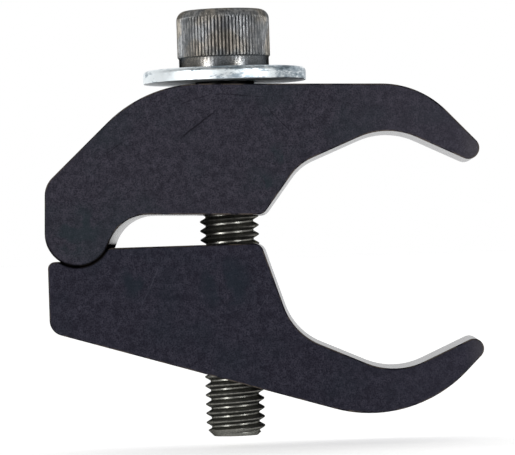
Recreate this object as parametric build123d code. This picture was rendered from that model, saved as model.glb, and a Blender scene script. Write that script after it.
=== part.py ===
from build123d import *
import math
import os

# Pipe clamp: two extruded aluminium jaws that hinge on an open heel and socket, and one
# 1/2-13 socket head cap screw that draws them together round a pipe.
#
# Frame, in millimetres: the origin is the clamped pipe's centre, halfway across the jaws.
# Y runs along the pipe, +X points out of the clamp's mouth, and +Z runs up the screw to its
# head. The lower jaw is square to the axes, and the upper jaw leans on the pipe.

# Driving dimensions
PIPE_R = 48.26 / 2          # 1.9 in pipe that both seats bear on at rest
JAW_WIDTH = 28.6            # 1-1/8 in extrusions
EDGE_BREAK = 0.45           # tumbled edges of the sawn faces

# V seats
SEAT_SLOPE = 24.0           # each flat's angle from the pipe's tangent at the apex
APEX_DEPTH = PIPE_R / math.cos(math.radians(SEAT_SLOPE))
APEX_RADIUS = 15.0
UPPER_TIP_RADIUS = 2.35
LOWER_TIP_RADIUS = 2.15
HOOK_RADIUS = 28.2          # outer back of each hook

# Hinge
HEEL = (-66.1, 5.57)        # hinge centre, x and z
HEEL_R = 6.95
SOCKET_R = HEEL_R + 0.08
LEAN = 1.9                  # the upper jaw's turn towards the pipe at rest, degrees
SWING_MIN = -2.6            # jaw swing limits, counted from rest
SWING_MAX = 9.0

# Upper jaw, measured square from the heel's centre
UPPER_TOP = 31.64
UPPER_UNDERSIDE = 4.0
SHOULDER_Z = 10.2           # where the back turns into the 45 degree shoulder
SHOULDER_RADIUS = 5.3
NOSE_X = 72.06              # where the top turns into the 45 degree nose
NOSE_RADIUS = 19.4
UPPER_THROAT = (39.2, 55.0)    # the throat's foot on the underside, and its angle
UPPER_THROAT_RADIUS = 11.0
THROAT_FOOT_RADIUS = 2.2
NECK_X = 14.9               # centre of the hollow between the heel and the underside

# Lower jaw, measured from the pipe's centre
LOWER_BACK = -72.6
LOWER_TOP = 2.3
LIP_TOP = -0.26
LIP_RADIUS = 1.5
SOCKET_EDGE_RADIUS = 1.5
KEEL_Z = -15.1              # where the back meets the keel
KEEL_SLOPE = -16.8
KEEL_CORNER_RADIUS = 3.3
LOWER_NOSE_X = 41.0         # where the 45 degree nose line would cross the pipe's level
LOWER_THROAT = (-27.5, -71.9)
LOWER_THROAT_RADIUS = 13.5

# Screw, 1/2-13 UNC
BOLT_X = -34.4
PITCH = 25.4 / 13
THREAD_MAJOR_R = 12.7 / 2
THREAD_ROOT_R = THREAD_MAJOR_R - 0.6134 * PITCH
SHANK_R = THREAD_MAJOR_R - 0.04
BOLT_LENGTH = 78.5          # under the head
THREAD_LENGTH = 26 * PITCH
TIP_CHAMFER = 1.6
HEAD_HEIGHT = 12.7
HEAD_R = 19.9 / 2           # over the knurl
HEAD_ROUND = 2.1
BAND_R = 19.3 / 2           # plain band under the knurl
BAND_HEIGHT = 2.5
KNURL_RIDGES = 80
KNURL_DEPTH = 0.32
HEX_ACROSS = 9.525          # 3/8 in key
HEX_DEPTH = 6.4

# Screw hole in the lower jaw, at the tapped thread's major radius
TAP_R = THREAD_MAJOR_R + 0.05
COUNTERSINK_R = 7.1

# Washer, 1/2 in flat
WASHER_R = 34.925 / 2
WASHER_HOLE_R = 14.29 / 2
WASHER_THICK = 2.77
WASHER_SLACK = 0.72         # between the washer and the upper jaw's shoulder at rest
WASHER_ROUND = 0.9          # rolled upper rim
WASHER_BREAK = 0.2          # every other edge of the washer

# Oversize hole in the upper jaw, milled so that the jaw can swing round the screw
SLOT_R = SHANK_R + 0.5


def meet(start_a, angle_a, start_b, angle_b):
    """Where two lines cross, each given by a point on it and its angle in degrees."""
    cos_a, sin_a = math.cos(math.radians(angle_a)), math.sin(math.radians(angle_a))
    cos_b, sin_b = math.cos(math.radians(angle_b)), math.sin(math.radians(angle_b))
    across = start_b[0] - start_a[0]
    up = start_b[1] - start_a[1]
    reach = (across * sin_b - up * cos_b) / (cos_a * sin_b - sin_a * cos_b)
    return (start_a[0] + reach * cos_a, start_a[1] + reach * sin_a)


def turned(point, degrees):
    """A point turned about the origin, anticlockwise seen from the front."""
    cos_t, sin_t = math.cos(math.radians(degrees)), math.sin(math.radians(degrees))
    return (point[0] * cos_t - point[1] * sin_t, point[0] * sin_t + point[1] * cos_t)


def sawn(profile):
    """Jaw blank: the extrusion's profile sawn to the jaws' width, with its edges broken."""
    blank = extrude(Plane.XZ * profile, amount=JAW_WIDTH / 2, both=True)
    sawn_edges = blank.faces().filter_by(Axis.Y).edges()
    return fillet(sawn_edges, EDGE_BREAK)


def upper_profile():
    """Upper jaw from the front, square to the axes, with the heel's centre at the origin."""
    apex = turned((-HEEL[0], APEX_DEPTH - HEEL[1]), LEAN)
    throat_foot = (UPPER_THROAT[0], UPPER_UNDERSIDE)
    shoulder = (-HEEL_R, SHOULDER_Z)
    nose = (NOSE_X, UPPER_TOP)
    neck_top = (NECK_X, UPPER_UNDERSIDE)
    corners = [
        (shoulder, SHOULDER_RADIUS),
        (meet(shoulder, 45, nose, 0), HOOK_RADIUS),
        (nose, NOSE_RADIUS),
        (meet(nose, -45, apex, -SEAT_SLOPE), UPPER_TIP_RADIUS),
        (apex, APEX_RADIUS),
        (meet(apex, SEAT_SLOPE, throat_foot, UPPER_THROAT[1]), UPPER_THROAT_RADIUS),
        (throat_foot, THROAT_FOOT_RADIUS),
    ]
    points = [(-HEEL_R, 0)] + [point for point, radius in corners] + [neck_top]
    outer = FilletPolyline(points, radius=[radius for point, radius in corners])

    # The neck is an arc tangent to the underside and to the round heel
    neck_radius = (NECK_X**2 + UPPER_UNDERSIDE**2 - HEEL_R**2) / (2 * (HEEL_R + UPPER_UNDERSIDE))
    neck_centre = (NECK_X, UPPER_UNDERSIDE - neck_radius)
    neck_angle = math.degrees(math.atan2(neck_centre[1], neck_centre[0]))
    neck_foot = turned((HEEL_R, 0), neck_angle)
    neck_middle = turned((-neck_radius, 0), (neck_angle - 90) / 2)
    neck_middle = (neck_centre[0] + neck_middle[0], neck_centre[1] + neck_middle[1])
    neck = ThreePointArc(neck_top, neck_middle, neck_foot)
    heel = ThreePointArc(neck_foot, turned((HEEL_R, 0), -100), (-HEEL_R, 0))
    return make_face((outer + neck + heel).edges())


def lower_profile():
    """Lower jaw from the front, where it stands."""
    apex = (0, -APEX_DEPTH)
    keel = (LOWER_BACK, KEEL_Z)
    nose = (LOWER_NOSE_X, 0)
    throat_head = (LOWER_THROAT[0], LOWER_TOP)
    lip_reach = math.sqrt(SOCKET_R**2 - (HEEL[1] - LIP_TOP) ** 2)
    top_reach = math.sqrt(SOCKET_R**2 - (HEEL[1] - LOWER_TOP) ** 2)
    lip_edge = (HEEL[0] - lip_reach, LIP_TOP)
    socket_edge = (HEEL[0] + top_reach, LOWER_TOP)
    corners = [
        ((LOWER_BACK, LIP_TOP), LIP_RADIUS),
        (keel, KEEL_CORNER_RADIUS),
        (meet(keel, KEEL_SLOPE, nose, 45), HOOK_RADIUS),
        (meet(nose, 45, apex, SEAT_SLOPE), LOWER_TIP_RADIUS),
        (apex, APEX_RADIUS),
        (meet(apex, -SEAT_SLOPE, throat_head, LOWER_THROAT[1]), LOWER_THROAT_RADIUS),
        (throat_head, THROAT_FOOT_RADIUS),
    ]
    points = [lip_edge] + [point for point, radius in corners] + [socket_edge]
    outer = FilletPolyline(points, radius=[radius for point, radius in corners])
    socket = ThreePointArc(socket_edge, (HEEL[0], HEEL[1] - SOCKET_R), lip_edge)
    profile = make_face((outer + socket).edges())
    socket_corner = profile.vertices().sort_by_distance(socket_edge)[0]
    return fillet(socket_corner, SOCKET_EDGE_RADIUS)


def ringed_thread(foot_z, length):
    """Rod with the thread's 60 degree profile in rings one pitch apart, foot at foot_z."""
    flank_rise = (SHANK_R - THREAD_ROOT_R) * math.tan(math.radians(30))
    crest = PITCH / 16
    outline = []
    for count in range(int(length / PITCH)):
        middle = foot_z + (count + 0.5) * PITCH
        outline.append((THREAD_ROOT_R, middle - crest - flank_rise))
        outline.append((SHANK_R, middle - crest))
        outline.append((SHANK_R, middle + crest))
        outline.append((THREAD_ROOT_R, middle + crest + flank_rise))
    core = [(0, foot_z), (THREAD_ROOT_R, foot_z)]
    top = [(THREAD_ROOT_R, foot_z + length), (0, foot_z + length)]
    half = make_face(Polyline(core + outline + top, close=True).edges())
    return revolve(Plane.XZ * half, Axis.Z)


def make_upper_jaw():
    """Hooked upper jaw, leaning on the pipe, with its oversize screw hole."""
    jaw = sawn(upper_profile())

    # In the jaw's own frame the screw leans as the jaw swings, so the hole widens upwards
    def screw_x(swing, height):
        lean = swing - LEAN
        foot = turned((BOLT_X - HEEL[0], 0), -lean)
        return foot[0] + (height - foot[1]) * math.tan(math.radians(lean))

    sections = []
    for height in (UPPER_UNDERSIDE - 1, UPPER_TOP + 1):
        near, far = screw_x(SWING_MIN, height), screw_x(SWING_MAX, height)
        slot = SlotCenterToCenter(abs(far - near), 2 * SLOT_R)
        sections.append(Pos((near + far) / 2, 0, height) * slot)
    jaw -= loft(sections)
    return Pos(HEEL[0], 0, HEEL[1]) * Rot(0, LEAN, 0) * jaw


def make_lower_jaw():
    """Hooked lower jaw with the heel's socket and the screw's hole."""
    jaw = sawn(lower_profile())
    jaw -= Pos(BOLT_X, 0, 0) * Cylinder(TAP_R, 4 * PIPE_R)
    countersink = Cone(TAP_R, COUNTERSINK_R, COUNTERSINK_R - TAP_R)
    jaw -= Pos(BOLT_X, 0, LOWER_TOP - (COUNTERSINK_R - TAP_R) / 2) * countersink
    return jaw


def make_head():
    """Knurled cylinder head standing on z = 0, with a hexagonal key socket."""
    barrel = Pos(0, 0, HEAD_HEIGHT / 2) * Cylinder(HEAD_R, HEAD_HEIGHT)
    barrel = fillet(barrel.edges().sort_by(Axis.Z)[-1], HEAD_ROUND)
    ring = Cylinder(HEAD_R + 1, BAND_HEIGHT) - Cylinder(BAND_R, BAND_HEIGHT)
    head = barrel - Pos(0, 0, BAND_HEIGHT / 2) * ring

    # Each groove is a square bar set on its edge, from the band up into the rounding
    bar = KNURL_DEPTH * math.sqrt(2)
    groove_length = HEAD_HEIGHT - BAND_HEIGHT
    grooves = []
    for count in range(KNURL_RIDGES):
        turn = Rot(0, 0, 360 * count / KNURL_RIDGES)
        place = Pos(HEAD_R, 0, BAND_HEIGHT + groove_length / 2)
        grooves.append(turn * place * Rot(0, 0, 45) * Box(bar, bar, groove_length))
    head -= grooves

    hexagon = RegularPolygon(HEX_ACROSS / 2, 6, major_radius=False)
    head -= Pos(0, 0, HEAD_HEIGHT - HEX_DEPTH) * extrude(hexagon, HEX_DEPTH)
    cone_r = HEX_ACROSS / 2
    head -= Pos(0, 0, HEAD_HEIGHT - HEX_DEPTH - cone_r / 4) * Cone(0.1, cone_r, cone_r / 2)
    return head


def make_clamp_bolt(seat_z):
    """Socket head cap screw with its head's underside at seat_z."""
    tip_z = seat_z - BOLT_LENGTH
    thread = ringed_thread(tip_z, THREAD_LENGTH)
    envelope = Pos(0, 0, tip_z + BOLT_LENGTH / 2) * Cylinder(SHANK_R + 0.5, BOLT_LENGTH)
    envelope = chamfer(envelope.edges().sort_by(Axis.Z)[0], TIP_CHAMFER + 0.5)
    thread = thread & envelope
    shank_length = BOLT_LENGTH - THREAD_LENGTH
    shank = Pos(0, 0, seat_z - shank_length / 2) * Cylinder(SHANK_R, shank_length)
    bolt = thread + shank + Pos(0, 0, seat_z) * make_head()
    return Pos(BOLT_X, 0, 0) * bolt


def make_flat_washer(under_z):
    """Stamped flat washer with its underside at under_z and its upper rim rolled over."""
    disc = Cylinder(WASHER_R, WASHER_THICK) - Cylinder(WASHER_HOLE_R, WASHER_THICK)
    circles = disc.edges().filter_by(GeomType.CIRCLE)
    upper_rim = circles.group_by(SortBy.RADIUS)[-1].sort_by(Axis.Z)[-1]
    disc = fillet(circles - [upper_rim], WASHER_BREAK)
    upper_rim = disc.edges().filter_by(GeomType.CIRCLE).group_by(Axis.Z)[-1].sort_by(SortBy.RADIUS)[-1]
    disc = fillet(upper_rim, WASHER_ROUND)
    return Pos(BOLT_X, 0, under_z + WASHER_THICK / 2) * disc


def shoulder_crown_z():
    """Height of the leaning upper jaw's highest point, on the arc that rounds its shoulder."""
    corner = meet((-HEEL_R, SHOULDER_Z), 45, (0, UPPER_TOP), 0)
    arc_x = corner[0] + HOOK_RADIUS * math.tan(math.radians(45 / 2))
    arc_centre = turned((arc_x, UPPER_TOP - HOOK_RADIUS), -LEAN)
    return HEEL[1] + arc_centre[1] + HOOK_RADIUS


washer_z = shoulder_crown_z() + WASHER_SLACK
pieces = {
    "upper_jaw": make_upper_jaw(),
    "lower_jaw": make_lower_jaw(),
    "clamp_bolt": make_clamp_bolt(washer_z + WASHER_THICK),
    "flat_washer": make_flat_washer(washer_z),
}
os.makedirs("parts", exist_ok=True)
for name, piece in pieces.items():
    export_step(piece, f"parts/{name}.step")
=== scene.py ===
import math

import bmesh
import bpy
from mathutils import Matrix, Vector


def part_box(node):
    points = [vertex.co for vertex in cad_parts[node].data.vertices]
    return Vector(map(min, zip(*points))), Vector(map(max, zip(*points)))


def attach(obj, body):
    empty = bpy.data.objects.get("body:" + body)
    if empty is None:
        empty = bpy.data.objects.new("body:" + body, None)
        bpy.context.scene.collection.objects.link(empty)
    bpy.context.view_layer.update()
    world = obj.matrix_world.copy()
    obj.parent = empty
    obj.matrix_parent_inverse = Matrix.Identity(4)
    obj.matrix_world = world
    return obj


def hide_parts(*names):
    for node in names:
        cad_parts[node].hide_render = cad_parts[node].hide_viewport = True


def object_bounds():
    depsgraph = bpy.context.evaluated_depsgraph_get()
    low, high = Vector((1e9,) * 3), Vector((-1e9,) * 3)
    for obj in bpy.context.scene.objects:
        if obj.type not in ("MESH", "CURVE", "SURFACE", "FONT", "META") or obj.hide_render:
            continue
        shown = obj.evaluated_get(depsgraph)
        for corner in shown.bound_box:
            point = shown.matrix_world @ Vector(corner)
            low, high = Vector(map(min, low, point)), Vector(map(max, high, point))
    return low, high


MM = 0.001

# The camera is level with the pipe's centre and a little to the mouth's side of the jaws'
# middle. It is rolled so that the upper jaw's top lies level across the picture.
CAMERA_PLACE = Vector((-13.0, -775.3, 0.76)) * MM
CAMERA_AIM = Vector((-28.1, -14.3, 5.6)) * MM
CAMERA_ROLL = math.radians(1.9)
CAMERA_LENS = 252.7

# Two softboxes stand either side of the camera, the left one larger and stronger.
SOFTBOX_ANGLE = math.radians(42)
SOFTBOX_DISTANCE = 1.15
SOFTBOXES = {-1: (0.30, 9.0), 1: (0.20, 5.0)}

# Strength of the room's light behind the object and towards the camera, and the directions
# (Y of the unit sphere) between which it changes
ROOM_BRIGHT = 1.0
ROOM_DARK = 0.13
ROOM_DARK_TO = -0.6
ROOM_BRIGHT_FROM = 0.9

# The floor glows a little, so that it is as white as the room behind it
FLOOR_DROP = 2.2 * MM
FLOOR_SIZE = 30.0
FLOOR_GLOW = 0.58

# The screw is 1/2-13 with a right-hand thread, and its head has 80 knurled ridges.
PITCH = 25.4 / 13 * MM
THREAD_TURNS = 26
THREAD_RADIUS = 6.31 * MM
THREAD_DEPTH = 0.6 * PITCH
THREAD_RUNOUT = 1.5 * PITCH
HALF_CREST = 1 / 16  # in pitches
FLANK_WIDTH = 0.354  # in pitches
TIP_CHAMFER = 1.6 * MM
ROWS_PER_TURN = 12
SHANK_SIDES = 80
HEAD_SIDES = 3 * SHANK_SIDES
HEAD_HEIGHT = 12.7 * MM
HEAD_ROUND = 2.1 * MM
ROUND_STEPS = 8
KNURL_FADE_STEPS = 3
BAND_RADIUS = 9.65 * MM
BAND_HEIGHT = 2.5 * MM
KNURL_DEPTH = 0.32 * MM
KEY_ACROSS = 9.525 * MM
KEY_DEPTH = 6.4 * MM
KEY_POINT = KEY_ACROSS / 8
BEVEL = 0.2 * MM
HEAD_CLEARANCE = 0.01 * MM
SHARP_ANGLE = math.radians(40)

# Centre (x, z) of the upper jaw's heel in millimetres, its radius, and how far from the centre
# its corners stay unrubbed
HEEL = (-66.1, 5.6)
HEEL_RADIUS = 7.0 * MM
HEEL_SHELTER = 10

# Places are (x, z) in millimetres: patches have a radius, scratches a width and a strength
UPPER_PATCHES = [((-27, 14), 4.5), ((-23, 21), 3), ((-66, 6), 8)]
UPPER_SCRATCHES = [
    ((-44.3, 24.1), (-35.0, 31.6), 0.22, 0.9),
    ((-60.8, 21.3), (-53.8, 25.7), 0.16, 0.6),
    ((-44.0, 31.9), (-36.0, 34.3), 0.14, 0.6),
    ((-38.0, 34.2), (-23.2, 32.9), 0.14, 0.6),
    ((-26.3, 31.9), (-19.3, 24.6), 0.16, 0.7),
]
LOWER_PATCHES = [((-35, -6), 8), ((-54, -5), 5)]
LOWER_SCRATCHES = [
    ((-53.5, -11.6), (-48.7, -0.6), 0.12, 0.2),
    ((-29.1, -13.0), (-25.5, -7.9), 0.12, 0.2),
]

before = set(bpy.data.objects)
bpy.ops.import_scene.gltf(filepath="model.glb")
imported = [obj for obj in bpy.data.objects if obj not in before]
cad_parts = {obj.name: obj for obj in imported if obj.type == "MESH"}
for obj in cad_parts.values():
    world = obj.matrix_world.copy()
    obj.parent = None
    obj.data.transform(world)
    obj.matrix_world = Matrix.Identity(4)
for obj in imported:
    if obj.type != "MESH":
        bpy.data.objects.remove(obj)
cad_low, cad_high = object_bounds()
screw_low, screw_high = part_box("clamp_bolt")
washer_low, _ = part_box("flat_washer")
SCREW_X = (screw_low.x + screw_high.x) / 2
SCREW_LENGTH = screw_high.z - screw_low.z
HEAD_RADIUS = (screw_high.x - screw_low.x) / 2
# The head's underside, a hair above the washer so that the two faces don't share a plane
SEAT = SCREW_LENGTH - HEAD_HEIGHT + HEAD_CLEARANCE


def ring(mesh, sides, height, radius_at):
    """Vertices around the axis at one height; radius_at gives the radius for each side."""
    vertices = []
    for side in range(sides):
        angle = 2 * math.pi * side / sides
        radius = radius_at(side)
        place = (radius * math.cos(angle), radius * math.sin(angle), height)
        vertices.append(mesh.verts.new(place))
    return vertices


def join(mesh, lower, upper):
    """Faces between two rings; the upper one may have several vertices to each lower one."""
    share = len(upper) // len(lower)
    for side, corner in enumerate(lower):
        after = (side + 1) % len(lower)
        fan = [upper[(side * share + step) % len(upper)] for step in range(share + 1)]
        mesh.faces.new([corner, lower[after]] + fan[::-1])


def thread_radius(height, turn):
    """Radius of the 60 degree helical thread, with its run-out and the screw's chamfered tip."""
    off_crest = abs((height / PITCH - turn + 0.5) % 1 - 0.5)
    flank = min(max((off_crest - HALF_CREST) / FLANK_WIDTH, 0), 1)
    left = (THREAD_TURNS * PITCH - height) / THREAD_RUNOUT
    depth = THREAD_DEPTH * min(flank, max(left, 0))
    return min(THREAD_RADIUS - depth, THREAD_RADIUS - TIP_CHAMFER + height)


def add_thread(mesh):
    """Helical thread from the tip upwards; its rows of vertices climb with the helix."""
    length = THREAD_TURNS * PITCH
    rows = ROWS_PER_TURN * (THREAD_TURNS + 1)
    grid = []
    for row in range(rows + ROWS_PER_TURN + 1):
        line = []
        for side in range(SHANK_SIDES):
            turn = side / SHANK_SIDES
            height = min(max((row / ROWS_PER_TURN - 1 + turn) * PITCH, 0), length)
            radius = thread_radius(height, turn)
            angle = 2 * math.pi * turn
            place = (radius * math.cos(angle), radius * math.sin(angle), height)
            line.append(mesh.verts.new(place))
        grid.append(line)

    # One full turn brings a row up to where the row a pitch above it started
    for row in range(rows):
        for side in range(SHANK_SIDES):
            if side + 1 < SHANK_SIDES:
                lower, upper = grid[row][side + 1], grid[row + 1][side + 1]
            else:
                lower, upper = grid[row + ROWS_PER_TURN][0], grid[row + 1 + ROWS_PER_TURN][0]
            mesh.faces.new((grid[row][side], lower, upper, grid[row + 1][side]))
    mesh.faces.new(grid[0][::-1])
    return grid[rows]


def add_head(mesh, shank_top):
    """Head from its underside up: band, knurl, rounding, then down the hexagonal socket."""

    def knurled(radius, share):
        groove = KNURL_DEPTH * share
        return lambda side: radius - (groove if side % 3 == 0 else 0)

    def hexagon(side):
        off_flat = (2 * math.pi * side / HEAD_SIDES + math.pi / 6) % (math.pi / 3) - math.pi / 6
        return KEY_ACROSS / 2 / math.cos(off_flat)

    band_top = SEAT + BAND_HEIGHT
    shoulder = SCREW_LENGTH - HEAD_ROUND
    rings = [
        (SEAT, knurled(BAND_RADIUS - BEVEL, 0)),
        (SEAT + BEVEL, knurled(BAND_RADIUS, 0)),
        (band_top - BEVEL, knurled(BAND_RADIUS, 0)),
        (band_top, knurled(HEAD_RADIUS - BEVEL, 0.4)),
        (band_top + BEVEL, knurled(HEAD_RADIUS, 1)),
        (shoulder, knurled(HEAD_RADIUS, 1)),
    ]
    for step in range(1, ROUND_STEPS + 1):
        angle = math.pi / 2 * step / ROUND_STEPS
        height = shoulder + HEAD_ROUND * math.sin(angle)
        radius = HEAD_RADIUS - HEAD_ROUND * (1 - math.cos(angle))
        rings.append((height, knurled(radius, max(0, 1 - step / KNURL_FADE_STEPS))))
    socket_edge = KEY_ACROSS / 2 / math.cos(math.pi / 6) + BEVEL
    rings.append((SCREW_LENGTH, lambda side: socket_edge))
    rings.append((SCREW_LENGTH - 3 * BEVEL, hexagon))
    rings.append((SCREW_LENGTH - KEY_DEPTH, hexagon))

    below = shank_top
    for height, radius_at in rings:
        above = ring(mesh, HEAD_SIDES, height, radius_at)
        join(mesh, below, above)
        below = above
    point = mesh.verts.new((0, 0, SCREW_LENGTH - KEY_DEPTH - KEY_POINT))
    for side in range(HEAD_SIDES):
        mesh.faces.new((below[side], below[(side + 1) % HEAD_SIDES], point))


def make_screw():
    """Socket head cap screw with a true helical thread, standing on its tip."""
    mesh = bmesh.new()
    thread_top = add_thread(mesh)
    shank_top = ring(mesh, SHANK_SIDES, SEAT, lambda side: THREAD_RADIUS)
    join(mesh, thread_top, shank_top)
    add_head(mesh, shank_top)
    bmesh.ops.remove_doubles(mesh, verts=mesh.verts, dist=0.001 * MM)
    bmesh.ops.recalc_face_normals(mesh, faces=mesh.faces)
    data = bpy.data.meshes.new("cap_screw")
    mesh.to_mesh(data)
    mesh.free()
    data.shade_smooth()
    data.set_sharp_from_angle(angle=SHARP_ANGLE)
    screw = bpy.data.objects.new("cap_screw", data)
    screw.location = (SCREW_X, 0, screw_low.z)
    bpy.context.collection.objects.link(screw)
    screw.data.materials.append(black_oxide())
    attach(screw, "bolt")
    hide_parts("clamp_bolt")


class Shader:
    """One material's node tree, with short calls for the nodes used here."""

    def __init__(self, name):
        self.material = bpy.data.materials.new(name)
        self.material.use_nodes = True
        self.tree = self.material.node_tree
        self.surface = self.tree.nodes["Principled BSDF"]
        self.point = self.add("ShaderNodeTexCoord").outputs["Object"]
        self.normal = self.add("ShaderNodeNewGeometry").outputs["Normal"]

    def add(self, kind, inputs=None, **settings):
        node = self.tree.nodes.new(kind)
        for key, value in settings.items():
            setattr(node, key, value)
        for key, value in (inputs or {}).items():
            self.feed(node, key, value)
        return node

    def feed(self, node, key, value):
        if isinstance(value, bpy.types.NodeSocket):
            self.tree.links.new(value, node.inputs[key])
        else:
            node.inputs[key].default_value = value

    def math(self, operation, first, second=0.0):
        node = self.add("ShaderNodeMath", {0: first, 1: second}, operation=operation)
        return node.outputs[0]

    def product(self, first, *others):
        for other in others:
            first = self.math("MULTIPLY", first, other)
        return first

    def split(self, vector):
        return self.add("ShaderNodeSeparateXYZ", {0: vector}).outputs

    def stretched(self, scale):
        """The object's own coordinates, scaled differently along each axis."""
        node = self.add("ShaderNodeVectorMath", {0: self.point, 1: scale}, operation="MULTIPLY")
        return node.outputs[0]

    def noise(self, scale, detail=2.0, roughness=0.5, point=None):
        inputs = {
            "Vector": point or self.point,
            "Scale": scale,
            "Detail": detail,
            "Roughness": roughness,
        }
        return self.add("ShaderNodeTexNoise", inputs).outputs["Fac"]

    def band(self, value, low, high, out_low=0.0, out_high=1.0):
        """Maps low..high smoothly to out_low..out_high, and holds the ends."""
        inputs = {"Value": value, 1: low, 2: high, 3: out_low, 4: out_high}
        node = self.add("ShaderNodeMapRange", inputs, interpolation_type="SMOOTHSTEP")
        return node.outputs[0]

    def mix(self, factor, first, second):
        node = self.add("ShaderNodeMix", data_type="RGBA")
        self.feed(node, 0, factor)
        self.feed(node, 6, first)
        self.feed(node, 7, second)
        return node.outputs[2]

    def bump(self, height, depth):
        inputs = {"Height": height, "Distance": depth, "Strength": 1.0}
        return self.add("ShaderNodeBump", inputs).outputs[0]

    def distance(self, centre):
        """Distance from the line along Y through an (x, z) place in millimetres."""
        x, _, z = self.split(self.point)
        aside = self.math("POWER", self.math("SUBTRACT", x, centre[0] * MM), 2.0)
        above = self.math("POWER", self.math("SUBTRACT", z, centre[1] * MM), 2.0)
        return self.math("SQRT", self.math("ADD", aside, above))

    def patch(self, centre, radius):
        """Soft round spot around an (x, z) place in millimetres, through the whole width."""
        return self.band(self.distance(centre), 0.3 * radius * MM, radius * MM, 1, 0)

    def scratch(self, start, end, width):
        """Thin wavering line between two (x, z) places in millimetres, fading at its ends."""
        run = Vector(end) - Vector(start)
        length = run.length * MM
        run.normalize()
        x, _, z = self.split(self.point)
        right = self.math("SUBTRACT", x, start[0] * MM)
        above = self.math("SUBTRACT", z, start[1] * MM)
        along = self.math("ADD", self.product(right, run.x), self.product(above, run.y))
        aside = self.math("SUBTRACT", self.product(right, run.y), self.product(above, run.x))
        waver = self.math("SUBTRACT", self.noise(110, 3, 0.6), 0.5)
        aside = self.math("ADD", aside, self.product(waver, 1.6 * MM))
        line = self.band(self.math("ABSOLUTE", aside), 0.3 * width * MM, width * MM, 1, 0)
        begin = self.band(along, 0, 0.2 * length)
        stop = self.band(along, 0.7 * length, length, 1, 0)
        return self.product(line, begin, stop, self.band(self.noise(600), 0.3, 0.55, 0.3, 1))

    def finish(self, **inputs):
        for key, value in inputs.items():
            self.feed(self.surface, key.replace("_", " "), value)
        return self.material


def rgb(red, green, blue):
    """A linear colour for a shader from screen values of 0 to 255."""
    return tuple((value / 255) ** 2.2 for value in (red, green, blue)) + (1.0,)


NICK_TONE = rgb(74, 74, 84)
TIP_TONE = rgb(88, 85, 86)
# Tone of the dark chamfered corners, partly painted shade
CORNER_DARK_AND_SHADE_TONE = rgb(12, 11, 12)
RUBBED_TONE = rgb(112, 100, 88)
# Painted shade along the seam where the heel meets its socket
SEAM_SHADE_TONE = rgb(6, 6, 7)


def anodise(name, dark, light, teal, patches, scratches, scratch_tone):
    """Black anodised aluminium: tumbled speckle on the sawn sides, die lines on the walls."""
    s = Shader(name)
    fine = s.noise(3000, 3, 0.7)
    coarse = s.noise(900, 3, 0.6)
    mottle = s.noise(420, 3, 0.65)
    cloud = s.noise(75, 3, 0.6)
    grain = s.math("ADD", s.product(fine, 0.7), s.product(coarse, 0.3))
    x, _, z = s.split(s.point)
    facing = s.math("ABSOLUTE", s.split(s.normal)[1])
    side = s.band(facing, 0.8, 0.95)
    die_lines = s.noise(1.0, 4, 0.7, s.stretched((2200, 25, 2200)))
    wall = s.math("SUBTRACT", 1, side)
    texture = s.math("ADD", s.product(grain, side), s.product(die_lines, wall))

    # Speckle and teal stains
    colour = s.mix(s.band(texture, 0.38, 0.64), dark, light)
    colour = s.mix(s.band(mottle, 0.42, 0.66, 0, 0.55), colour, dark)
    stain = s.band(cloud, 0.45, 0.7, 0, 0.35)
    for centre, radius in patches:
        ragged = s.band(s.noise(260, 3, 0.6), 0.4, 0.6, 0, 1)
        stain = s.math("MAXIMUM", stain, s.product(s.patch(centre, radius), ragged, 0.7))
    colour = s.mix(stain, colour, teal)

    # Pale nicks, lighter arms with grey tips, and scratches
    nicks = s.band(s.noise(1300, 2, 0.7), 0.6, 0.72, 0, 0.22)
    colour = s.mix(s.product(nicks, side), colour, NICK_TONE)
    colour = s.mix(s.band(x, -15 * MM, 15 * MM, 0, 0.25), colour, light)
    colour = s.mix(s.band(x, 14 * MM, 19 * MM, 0, 0.3), colour, TIP_TONE)
    marks = 0.0
    for start, end, width, strength in scratches:
        marks = s.math("MAXIMUM", marks, s.product(s.scratch(start, end, width), strength))
    colour = s.mix(s.product(marks, side), colour, scratch_tone)

    # Dark corners, partly painted shade, rubbed brown in places, and painted shade along the seam
    # where the heel meets its socket
    corner = s.product(s.band(facing, 0.25, 0.5), s.band(facing, 0.8, 0.95, 1, 0))
    away = s.math("SUBTRACT", 1, s.patch(HEEL, HEEL_SHELTER))
    rubbed = s.product(s.band(s.noise(330, 3, 0.7), 0.44, 0.56), away)
    colour = s.mix(s.product(corner, 0.8), colour, CORNER_DARK_AND_SHADE_TONE)
    colour = s.mix(s.product(corner, rubbed, 0.4), colour, RUBBED_TONE)
    off_seam = s.math("ABSOLUTE", s.math("SUBTRACT", s.distance(HEEL), HEEL_RADIUS))
    seam_shade = s.product(s.band(off_seam, 0.15 * MM, 0.7 * MM, 1, 0), s.band(z, 3 * MM, 5 * MM, 1, 0))
    colour = s.mix(s.product(seam_shade, 0.9), colour, SEAM_SHADE_TONE)

    rough = s.math("ADD", s.band(side, 0, 1, 0.18, 0.52), s.product(coarse, 0.12))
    gloss = s.product(s.band(side, 0, 1, 0.5, 0.13), s.band(corner, 0, 1, 1, 0.1))
    gloss = s.product(gloss, s.band(seam_shade, 0, 1, 1, 0))
    bump = s.bump(texture, 0.02 * MM)
    shine = {"Specular_IOR_Level": gloss, "Specular_Tint": (0.8, 0.8, 1, 1)}
    return s.finish(Base_Color=colour, Roughness=rough, Normal=bump, **shine)


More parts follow.
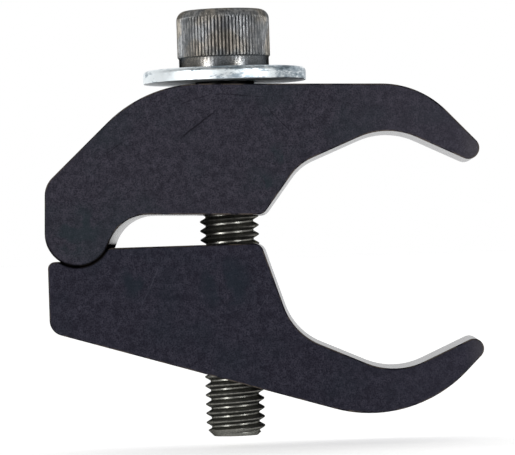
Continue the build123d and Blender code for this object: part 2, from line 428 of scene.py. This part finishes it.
def black_oxide():
    """Oiled black oxide, rubbed bright on the knurl, the head's rounding and the crests."""
    s = Shader("black_oxide_steel")
    x, y, z = s.split(s.point)
    radius = s.math("SQRT", s.math("ADD", s.math("POWER", x, 2.0), s.math("POWER", y, 2.0)))
    fine = s.noise(2600, 4, 0.7)
    tint = s.noise(170, 2, 0.5)
    knurl = s.band(radius, BAND_RADIUS + 0.05 * MM, HEAD_RADIUS - 0.02 * MM)
    thread = s.band(radius, THREAD_RADIUS, THREAD_RADIUS + 0.2 * MM, 1, 0)
    crest = s.band(radius, THREAD_RADIUS - 0.35 * MM, THREAD_RADIUS - 0.02 * MM)
    rubbed = s.band(s.noise(1.0, 4, 0.7, s.stretched((1500, 1500, 500))), 0.42, 0.6)
    rounding = s.band(z, SCREW_LENGTH - HEAD_ROUND, SCREW_LENGTH - 0.5 * HEAD_ROUND)

    colour = s.mix(s.band(tint, 0.4, 0.6), rgb(102, 105, 108), rgb(110, 107, 102))
    colour = s.mix(thread, colour, rgb(134, 133, 126))
    colour = s.mix(s.band(fine, 0.35, 0.65, 0, 0.6), colour, rgb(76, 78, 80))
    bright = s.mix(s.band(tint, 0.4, 0.6), rgb(172, 173, 174), rgb(182, 175, 164))
    worn = s.math("ADD", s.product(rubbed, 0.6), 0.14)
    colour = s.mix(s.product(s.math("MAXIMUM", knurl, rounding), worn), colour, bright)
    colour = s.mix(s.product(thread, crest, rubbed, 0.5), colour, rgb(176, 174, 166))
    # Painted shade: the shank in the washer's and the jaw's holes is painted black, but not the
    # key socket above it
    under_head = s.band(z, SEAT - 5 * MM, SEAT - 4 * MM)
    socket = s.band(z, SEAT, SEAT + 1 * MM)
    shank_shade_mask = s.product(thread, s.math("SUBTRACT", under_head, socket))
    colour = s.mix(shank_shade_mask, colour, rgb(16, 16, 16))

    # Rougher on the knurl, the rounding and the thread than on the smooth band
    coarse = s.math("MAXIMUM", s.product(knurl, 0.3), s.product(thread, 0.1))
    coarse = s.math("MAXIMUM", coarse, s.product(rounding, 0.3))
    rough = s.math("ADD", s.band(fine, 0.3, 0.7, 0.24, 0.34), coarse)
    bump = s.bump(fine, 0.008 * MM)
    edge = rgb(90, 90, 92)
    return s.finish(
        Base_Color=colour, Roughness=rough, Normal=bump, Metallic=1.0, Specular_Tint=edge
    )


def zinc():
    """Bright zinc plate, blotched blue-grey, most of all along the right of its rim."""
    s = Shader("zinc_plate")
    x, _, z = s.split(s.point)
    ragged = s.noise(1.0, 5, 0.75, s.stretched((260, 260, 800)))
    fine = s.noise(2400, 3, 0.6)
    across = s.band(x, SCREW_X - 12 * MM, SCREW_X + 15 * MM, -0.05, 0.09)
    rim_top = s.band(z, washer_low.z + 1.2 * MM, washer_low.z + 2.1 * MM, 0.0, 0.05)
    stain = s.math("ADD", ragged, s.math("ADD", across, rim_top))
    colour = s.mix(s.band(stain, 0.48, 0.64), rgb(238, 245, 248), rgb(154, 168, 178))
    colour = s.mix(s.band(stain, 0.66, 0.74, 0, 0.8), colour, rgb(78, 92, 100))
    rough = s.band(fine, 0.3, 0.7, 0.32, 0.5)
    bump = s.bump(s.noise(700, 4, 0.7), 0.05 * MM)
    return s.finish(Base_Color=colour, Roughness=rough, Normal=bump, Metallic=1.0)


def paint(node, material):
    """Gives a CAD node its material, on every face, as the named material slot."""
    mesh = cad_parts[node].data
    mesh.materials.clear()
    mesh.materials.append(material)


def make_floor():
    """Plain pale floor just under the screw's tip."""
    bpy.ops.mesh.primitive_plane_add(size=FLOOR_SIZE, location=(0, 0, cad_low.z - FLOOR_DROP))
    floor = bpy.context.object
    floor.name = "floor"
    s = Shader("pale_floor")
    tone = s.mix(s.noise(3, 2, 0.5), rgb(246, 246, 245), rgb(250, 250, 249))
    glow = {"Emission_Color": rgb(255, 255, 255), "Emission_Strength": FLOOR_GLOW}
    floor.data.materials.append(s.finish(Base_Color=tone, Roughness=0.9, **glow))


def make_room():
    """White room for the camera; to every other ray it is dark towards the camera's side."""
    world = bpy.data.worlds.new("room")
    world.use_nodes = True
    tree = world.node_tree
    shade = tree.nodes["Background"]
    ray = tree.nodes.new("ShaderNodeLightPath")
    place = tree.nodes.new("ShaderNodeTexCoord")
    parts = tree.nodes.new("ShaderNodeSeparateXYZ")
    depth = tree.nodes.new("ShaderNodeMapRange")
    depth.interpolation_type = "SMOOTHSTEP"
    seen = tree.nodes.new("ShaderNodeMix")
    limits = (ROOM_DARK_TO, ROOM_BRIGHT_FROM, ROOM_DARK, ROOM_BRIGHT)
    for slot, value in enumerate(limits, start=1):
        depth.inputs[slot].default_value = value
    seen.inputs[3].default_value = ROOM_BRIGHT
    tree.links.new(place.outputs["Generated"], parts.inputs[0])
    tree.links.new(parts.outputs["Y"], depth.inputs[0])
    tree.links.new(ray.outputs["Is Camera Ray"], seen.inputs[0])
    tree.links.new(depth.outputs[0], seen.inputs[2])
    tree.links.new(seen.outputs[0], shade.inputs["Strength"])
    shade.inputs["Color"].default_value = (1, 1, 1, 1)
    bpy.context.scene.world = world


def make_softboxes():
    """Soft lights left and right of the camera, level with the object."""
    centre = (cad_low + cad_high) / 2
    for side, (size, watts) in SOFTBOXES.items():
        light = bpy.data.lights.new("softbox", "AREA")
        light.energy = watts
        light.size = size
        reach = Vector((side * math.sin(SOFTBOX_ANGLE), -math.cos(SOFTBOX_ANGLE), 0))
        lamp = bpy.data.objects.new("softbox", light)
        lamp.location = centre + reach * SOFTBOX_DISTANCE
        lamp.rotation_mode = "QUATERNION"
        lamp.rotation_quaternion = reach.to_track_quat("Z", "Y")
        bpy.context.collection.objects.link(lamp)


def make_camera():
    """Camera in front of the object, rolled about its own axis."""
    camera = bpy.data.objects.new("camera", bpy.data.cameras.new("camera"))
    camera.data.lens = CAMERA_LENS
    camera.location = CAMERA_PLACE
    look = (CAMERA_AIM - CAMERA_PLACE).to_track_quat("-Z", "Y").to_matrix().to_4x4()
    turn = look @ Matrix.Rotation(-CAMERA_ROLL, 4, "Z")
    camera.rotation_mode = "QUATERNION"
    camera.rotation_quaternion = turn.to_quaternion()
    bpy.context.collection.objects.link(camera)
    bpy.context.scene.camera = camera


upper_finish = anodise(
    "upper_jaw_anodise", rgb(31, 30, 36), rgb(60, 58, 66), rgb(31, 41, 44),
    UPPER_PATCHES, UPPER_SCRATCHES, rgb(14, 12, 18),
)
lower_finish = anodise(
    "lower_jaw_anodise", rgb(23, 22, 30), rgb(52, 51, 60), rgb(25, 33, 39),
    LOWER_PATCHES, LOWER_SCRATCHES, rgb(84, 86, 96),
)
paint("upper_jaw", upper_finish)
paint("lower_jaw", lower_finish)
paint("flat_washer", zinc())
make_screw()
make_floor()
make_room()
make_softboxes()
make_camera()
bpy.context.scene.view_settings.view_transform = "Standard"
